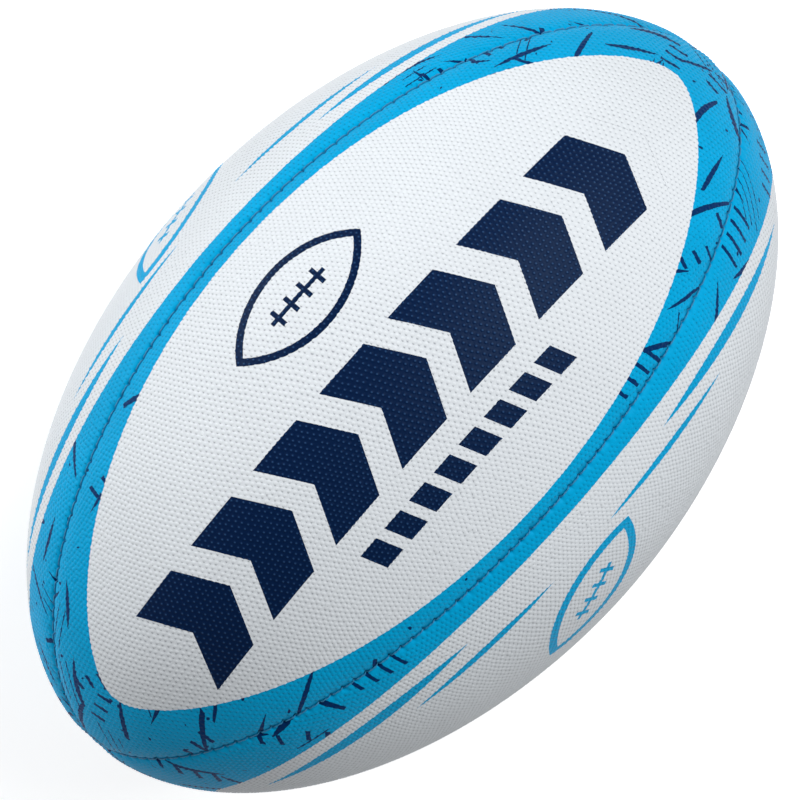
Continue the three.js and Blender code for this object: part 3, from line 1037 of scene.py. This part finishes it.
def print_look(name, side_panel):
    """The printed outer face of a panel: side_panel is 0 for front and back, else -1 or 1."""
    look = Look(name)
    s, q = look.spot()
    level = oval_level(s, q)
    border = level > 1.0
    marks = scribbles(look, s, q, SCRIBBLE_SHIFT * side_panel) & border
    if side_panel:
        side_sign = ball_sign(s, q, (-6.0, 28.0 * side_panel), 34, line=3.4)
        sky = border | side_sign | flashes(s, level)
    else:
        sky = border
        navy = chevrons(s, q) | small_blocks(s, q) | ball_sign(s, q, (-2.0, 36.0), 0)
    blotch = look.noise(18.0)
    grain = look.noise(0.5, 2.0)
    raised = look.attribute("raised")
    # valley marks where shade is painted: between the pimples, and more strongly at the sunk pit
    # beside each
    valley = raised.ramp(0.25, 0.5, VALLEY_SHADE, 0.0) | raised.ramp(0.0, 0.22, PIT_SHADE, 0.0)
    layers = [
        (blotch.ramp(0.35, 0.75, 0.0, 0.35), darker(WHITE, 0.955)),
        (valley, PAINTED_SHADE_GREY),
        (grain.ramp(0.55, 0.8, 0.0, 0.08), (0.35, 0.37, 0.40)),
        (sky, SKY),
        (sky & blotch.ramp(0.3, 0.7, 0.0, 0.4), darker(SKY, 0.85)),
        # the blue print gets a darker copy of its own colour there, as the same painted shade
        (sky & valley, darker(SKY, 0.35)),
        (marks, INK_BLUE),
    ]
    sheen = sky
    rough = grain.ramp(0.2, 0.8, 0.42, 0.56) + blotch * 0.06 - raised * 0.06
    if not side_panel:
        # NAVY_GLINT is a painted highlight laid on the tops of the pimples in the navy print
        layers += [(navy, NAVY), (navy & raised.ramp(0.45, 0.95, 0.0, 0.8), NAVY_GLINT)]
        sheen = sky | navy * 0.5
        rough = rough - navy * 0.08
    look.colours(WHITE, *layers)
    look.colours((1, 1, 1), (sheen, BLUE_SHEEN), socket="Specular Tint")
    look.rough(rough)
    look.bump(grain, 0.05)
    look.fixed(Specular_IOR_Level=PRINT_SHINE)
    return look.material


def rubber_look(name, colour, rough, dusty=0.0, mould=False):
    """Plain moulded rubber, with faint mottling, a fine grain and, if dusty, pale powder."""
    look = Look(name)
    blotch = look.noise(7.0, 5.0)
    grain = look.noise(0.35, 2.0)
    layers = [(blotch.ramp(0.3, 0.7, 0.0, 0.45), darker(colour, 0.7))]
    if dusty:
        layers.append((look.noise(24.0, 6.0, 0.7).ramp(0.45, 0.75, 0.0, dusty), (0.55, 0.54, 0.52)))
    look.colours(colour, *layers)
    look.rough(grain.ramp(0.2, 0.8, rough - 0.08, rough + 0.08) + blotch * 0.08)
    height = grain
    if mould:
        parts = look.tree.nodes.new("ShaderNodeSeparateXYZ")
        look.tree.links.new(look.place(), parts.inputs[0])
        line = abs(look.field(parts.outputs[2])).ramp(0.0, 0.0006, 1.0, 0.0)
        height = grain * 0.25 + line
    look.bump(height, 0.25 if mould else 0.05)
    return look.material


def weave_look(name, warp_colour, weft_colour, pitch):
    """Plain-woven cloth with threads at this pitch in mm, darker in the gaps between its threads."""
    look = Look(name)
    s, q = look.spot()
    wobble = look.noise(6.0) * 0.5
    u, v = s / pitch + wobble, q / pitch + wobble
    over = ((u.floor() + v.floor()) * 0.5).fraction() > 0.25
    across = (u.fraction() - 0.5) * 2.0
    along = (v.fraction() - 0.5) * 2.0
    warp = (1.0 - across * across * 0.8) * (0.65 + 0.35 * over)
    weft = (1.0 - along * along * 0.8) * (1.0 - 0.35 * over)
    height = warp | weft
    slub = look.noise(1.6, 3.0)
    stain = look.noise(30.0, 4.0)
    look.colours(
        warp_colour,
        (weft > warp, weft_colour),
        # darker where the threads lie low, in the gaps between them
        (height.ramp(0.25, 0.75, 0.75, 0.0), darker(warp_colour, 0.42)),
        (slub.ramp(0.4, 0.8, 0.0, 0.35), darker(weft_colour, 0.8)),
        (stain.ramp(0.5, 0.8, 0.0, 0.3), darker(warp_colour, 0.72)),
    )
    look.rough(slub.ramp(0.2, 0.8, 0.78, 0.95))
    look.bump(height, pitch * 0.3)
    return look.material


def thread_look(name):
    """Blue waxed thread: fine fibres wound round it and a soft shine."""
    look = Look(name)
    s, around = look.spot()
    fibre = ((s * 4.0 + around * 3.0) * 6.283).sine() * 0.5 + 0.5
    fuzz = look.noise(0.3, 3.0)
    look.colours(
        (0.004, 0.170, 0.350),
        (fibre.ramp(0.2, 0.9, 0.0, 0.5), (0.015, 0.250, 0.460)),
        (fuzz.ramp(0.5, 0.8, 0.0, 0.3), (0.10, 0.32, 0.48)),
    )
    look.rough(fuzz.ramp(0.2, 0.8, 0.45, 0.65))
    look.bump(fibre * 0.7 + fuzz * 0.3, 0.04)
    return look.material


# ================= Putting the ball together =================


def finish_piece(piece, nodes, slot, *looks):
    for look in looks:
        piece.data.materials.append(look)
    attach(piece, "root")
    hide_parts(*nodes)


def build_panels():
    front = print_look("front print", 0)
    left_side, right_side = print_look("side print 2", -1), print_look("side print 4", 1)
    prints = {1: front, 2: left_side, 3: front, 4: right_side}
    back = rubber_look("raw rubber back", (0.42, 0.41, 0.38), 0.7)
    weaves = {
        "outer": weave_look("outer ply weave", (0.62, 0.58, 0.47), (0.70, 0.66, 0.55), 0.9),
        "middle": weave_look("middle ply weave", (0.56, 0.52, 0.42), (0.64, 0.60, 0.50), 0.8),
        "inner": weave_look("inner ply weave", (0.66, 0.63, 0.54), (0.74, 0.71, 0.62), 0.7),
    }
    grips = {hole: grip_sheet(hole) for hole in (False, True)}
    linings = {
        hole: plain_sheet(GRIP_END_RADIUS, FINE_STATIONS, hole) for hole in (False, True)
    }
    plies = {hole: plain_sheet(PLY_END_RADIUS, COARSE_STATIONS, hole) for hole in (False, True)}
    for panel in PANELS:
        hole = panel == VALVE_PANEL
        grip = layer_object(
            f"pimpled_panel_{panel}", panel, grips[hole], linings[hole], 0.0, GRIP_THICKNESS, True
        )
        finish_piece(grip, [f"grip_panel_{panel}"], "grip_rubber", prints[panel], back)
        for number, name in enumerate(PLY_NAMES):
            depth = GRIP_THICKNESS + GLUE_LINE + number * (PLY_THICKNESS + GLUE_LINE)
            ply = layer_object(
                f"{name}_backing_{panel}", panel, plies[hole], plies[hole],
                depth, depth + PLY_THICKNESS,
            )
            finish_piece(ply, [f"{name}_ply_{panel}"], "ply_fabric", weaves[name])


def build_inside():
    bladder = bladder_object("bladder_skin")
    black = rubber_look("bladder rubber", (0.030, 0.029, 0.031), 0.42, dusty=0.35, mould=True)
    finish_piece(bladder, ["bladder"], "bladder_rubber", black)
    thread = thread_look("waxed thread")
    for seam in PANELS:
        piece = thread_object(f"stitching_{seam}", seam)
        finish_piece(piece, [f"seam_thread_{seam}"], "waxed_thread", thread)
    valve = valve_object("valve_moulding")
    finish_piece(valve, ["valve_body"], "valve_rubber",
                 rubber_look("valve rubber", (0.022, 0.022, 0.025), 0.48))
    plug = plug_object("needle_plug")
    finish_piece(plug, ["valve_plug"], "plug_rubber",
                 rubber_look("plug rubber", (0.05, 0.052, 0.058), 0.5))
    cloth = patch_object(
        "cloth_patch", VALVE_HOLE_RADIUS, CLOTH_PATCH_RADIUS, depth=3.0, thickness=0.4
    )
    canvas = weave_look("patch canvas", (0.55, 0.50, 0.38), (0.62, 0.57, 0.45), 0.6)
    finish_piece(cloth, ["panel_valve_patch"], "patch_fabric", canvas)
    rubber = patch_object(
        "bladder_patch", BLADDER_HOLE_RADIUS, RUBBER_PATCH_RADIUS, depth=4.5, thickness=0.8
    )
    finish_piece(rubber, ["bladder_valve_patch"], "bladder_rubber",
                 rubber_look("patch rubber", (0.045, 0.042, 0.040), 0.6, dusty=0.2))


# ================= Camera, lights and floor =================


def view_axes():
    """The picture's right, its up, and the direction from the ball to the camera."""
    back = Vector((
        -math.sin(VIEW_LEAN),
        -math.cos(VIEW_LEAN) * math.sin(VIEW_ROLL),
        math.cos(VIEW_LEAN) * math.cos(VIEW_ROLL),
    ))
    along = (Vector((1, 0, 0)) - back * back.x).normalized()
    beside = back.cross(along)
    c, s = math.cos(LONG_AXIS_SLOPE), math.sin(LONG_AXIS_SLOPE)
    return along * c - beside * s, along * s + beside * c, back


RIGHT, UP, BACK = view_axes()


def build_camera():
    camera = link(bpy.data.objects.new("camera", bpy.data.cameras.new("camera")))
    camera.data.lens = LENS
    camera.data.sensor_width = SENSOR_WIDTH
    camera.data.clip_end = 100
    axes = Matrix((RIGHT, UP, BACK)).transposed().to_4x4()
    place = BACK * VIEW_DISTANCE - RIGHT * CENTRE_OFFSET
    camera.matrix_world = Matrix.Translation(place) @ axes
    bpy.context.scene.camera = camera


def area_light(name, direction, watts):
    """A square soft light that points at the ball."""
    light = bpy.data.lights.new(name, "AREA")
    light.size, light.energy = LIGHT_SIZE, watts
    made = link(bpy.data.objects.new(name, light))
    place = direction.normalized() * LIGHT_DISTANCE
    facing = place.to_track_quat("Z", "Y").to_matrix().to_4x4()
    made.matrix_world = Matrix.Translation(place) @ facing
    made.visible_camera = False


def build_studio():
    area_light("upper left", UP * 0.6 - RIGHT * 1.2 + BACK * 0.1, UPPER_LEFT_WATTS)
    area_light("front right", UP * 0.4 + RIGHT * 0.6 + BACK * 0.9, FRONT_RIGHT_WATTS)
    world = bpy.data.worlds.new("studio")
    world.use_nodes = True
    background = world.node_tree.nodes["Background"]
    background.inputs["Color"].default_value = (1, 1, 1, 1)
    background.inputs["Strength"].default_value = SKY_STRENGTH
    bpy.context.scene.world = world
    mesh = bpy.data.meshes.new("floor")
    low = CAD_BOX[0].z - FLOOR_GAP
    corners = ((-1, -1), (1, -1), (1, 1), (-1, 1))
    mesh.from_pydata([(x * FLOOR_HALF, y * FLOOR_HALF, low) for x, y in corners], [], [(0, 1, 2, 3)])
    floor = link(bpy.data.objects.new("floor", mesh))
    look = Look("pale floor")
    speck = look.noise(40.0)
    look.colours((0.80, 0.80, 0.80), (speck.ramp(0.3, 0.7, 0.0, 0.3), (0.78, 0.78, 0.78)))
    look.fixed(Roughness=0.9, Emission_Color=(1, 1, 1, 1), Emission_Strength=FLOOR_GLOW)
    floor.data.materials.append(look.material)
    floor.visible_diffuse = False  # it glows for the camera without lighting the ball from below
    bpy.context.scene.view_settings.view_transform = "Standard"


build_camera()
build_panels()
build_inside()
build_studio()
